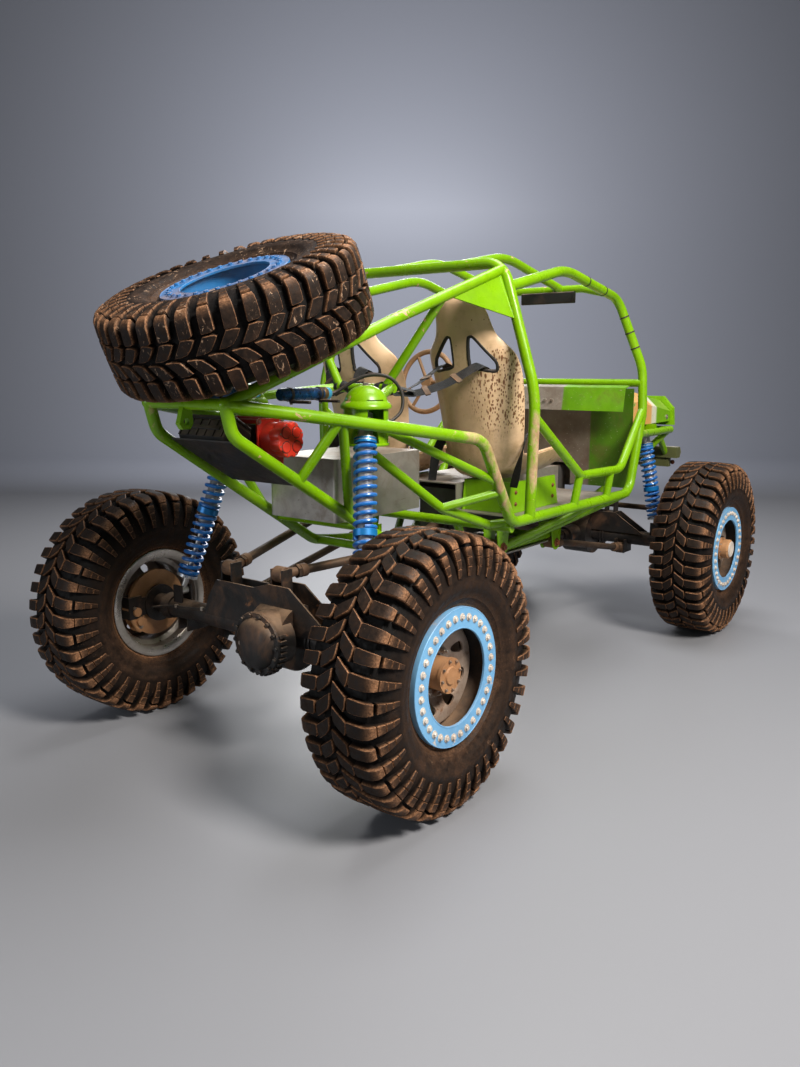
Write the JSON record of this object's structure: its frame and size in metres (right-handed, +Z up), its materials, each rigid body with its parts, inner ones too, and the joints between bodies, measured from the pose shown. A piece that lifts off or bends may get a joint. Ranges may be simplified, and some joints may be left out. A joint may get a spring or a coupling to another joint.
{
  "type": "competition off-road vehicle",
  "caption": "Tube-frame rock-crawling buggy: exposed cage, bucket seats, coil-over solid axles, big lugged tyres on clamp-ring rims, steered front axle, tilted spare wheel and rear winch.",
  "frame": {"origin": "centre of the bounding box, on the ground", "axes": "+X is forward, +Y is the vehicle's left, +Z is up"},
  "size_m": [3.9651, 1.963, 2.1154],
  "materials": {
    "cage_paint": "gloss lime paint, scuffed and dusty",
    "panel_paint": "gloss lime paint, dented",
    "bare_alloy": "brushed sheet, dull",
    "bumper_paint": "worn dark paint",
    "dark_steel": "satin black paint",
    "seat_shell": "tan gel coat, muddy",
    "rim_leather": "tan wrap",
    "black_plastic": "moulded",
    "cast_metal": "cast, oily",
    "axle_paint": "black paint with rust",
    "link_steel": "dark steel with surface rust",
    "damper_alloy": "anodised",
    "spring_blue": "royal blue powder coat",
    "winch_red": "red paint, worn",
    "tyre": "dusty rubber",
    "rim_steel": "pale blue clamp ring, steel centre",
    "hub_iron": "rusty casting"
  },
  "bodies": {
    "chassis": {"main_hoop": "cage_paint", "side_frames": "cage_paint", "roof_bars": "cage_paint", "rear_frame": "cage_paint", "shock_towers": "cage_paint", "cage_gussets": "cage_paint", "belly_frame": "cage_paint", "front_frame": "cage_paint", "rear_tow_ear": "cage_paint", "hood": "panel_paint", "nose_panel": "panel_paint", "dash_panel": "panel_paint", "firewall": "panel_paint", "skid_plate": "bare_alloy", "floor_pan": "bare_alloy", "fuel_cell": "bare_alloy", "front_bumper": "bumper_paint", "front_tow_ears": "dark_steel", "right_seat": "seat_shell", "left_seat": "seat_shell", "seat_frames": "cage_paint", "reservoirs": "spring_blue", "damper_hoses": "black_plastic", "steering_column": "dark_steel", "mirror": "black_plastic", "engine_block": "cast_metal", "gearbox": "cast_metal", "driveshafts": "dark_steel", "rear_axle": "axle_paint", "front_axle": "axle_paint", "suspension_links": "link_steel", "coilovers": "damper_alloy", "coil_springs": "spring_blue", "winch": "winch_red", "winch_tray": "dark_steel", "spare_tyre": "tyre", "spare_rim": "rim_steel", "spare_carrier": "cage_paint"},
    "left_steer": {"left_knuckle": "cast_metal"},
    "right_steer": {"right_knuckle": "cast_metal"},
    "tie_rod": {"tie_rod": "link_steel"},
    "steering_wheel": {"steering_wheel": "rim_leather"},
    "rear_left_wheel": {"rear_left_tyre": "tyre", "rear_left_rim": "rim_steel", "rear_left_hub": "hub_iron"},
    "rear_right_wheel": {"rear_right_tyre": "tyre", "rear_right_rim": "rim_steel", "rear_right_hub": "hub_iron"},
    "front_left_wheel": {"front_left_tyre": "tyre", "front_left_rim": "rim_steel", "front_left_hub": "hub_iron"},
    "front_right_wheel": {"front_right_tyre": "tyre", "front_right_rim": "rim_steel", "front_right_hub": "hub_iron"}
  },
  "joints": [
    {"name": "rear_left_spin", "type": "hinge", "parent": "chassis", "child": "rear_left_wheel", "pos_m": [-1.3644, 0.812, 0.508], "axis": [0, 1, 0], "continuous": true},
    {"name": "rear_right_spin", "type": "hinge", "parent": "chassis", "child": "rear_right_wheel", "pos_m": [-1.3644, -0.812, 0.508], "axis": [0, 1, 0], "continuous": true},
    {"name": "steer_left", "type": "hinge", "parent": "chassis", "child": "left_steer", "pos_m": [1.4746, 0.66, 0.508], "axis": [0, 0, 1], "range_deg": [-32, 32]},
    {"name": "steer_right", "type": "hinge", "parent": "chassis", "child": "right_steer", "pos_m": [1.4746, -0.66, 0.508], "axis": [0, 0, 1], "range_deg": [-32, 32]},
    {"name": "tie_rod_end", "type": "hinge", "parent": "left_steer", "child": "tie_rod", "pos_m": [1.6296, 0.66, 0.66], "axis": [0, 0, 1], "range_deg": [-32, 32]},
    {"name": "front_left_spin", "type": "hinge", "parent": "left_steer", "child": "front_left_wheel", "pos_m": [1.4746, 0.812, 0.508], "axis": [0, 1, 0], "continuous": true},
    {"name": "front_right_spin", "type": "hinge", "parent": "right_steer", "child": "front_right_wheel", "pos_m": [1.4746, -0.812, 0.508], "axis": [0, 1, 0], "continuous": true},
    {"name": "steering_wheel_turn", "type": "hinge", "parent": "chassis", "child": "steering_wheel", "pos_m": [0.1956, 0.33, 1.49], "axis": [0.983, 0, -0.1835], "continuous": true}
  ],
  "couplings": [
    {"joint": "steer_right", "follows": "steer_left", "ratio": 1},
    {"joint": "tie_rod_end", "follows": "steer_left", "ratio": -1}
  ]
}
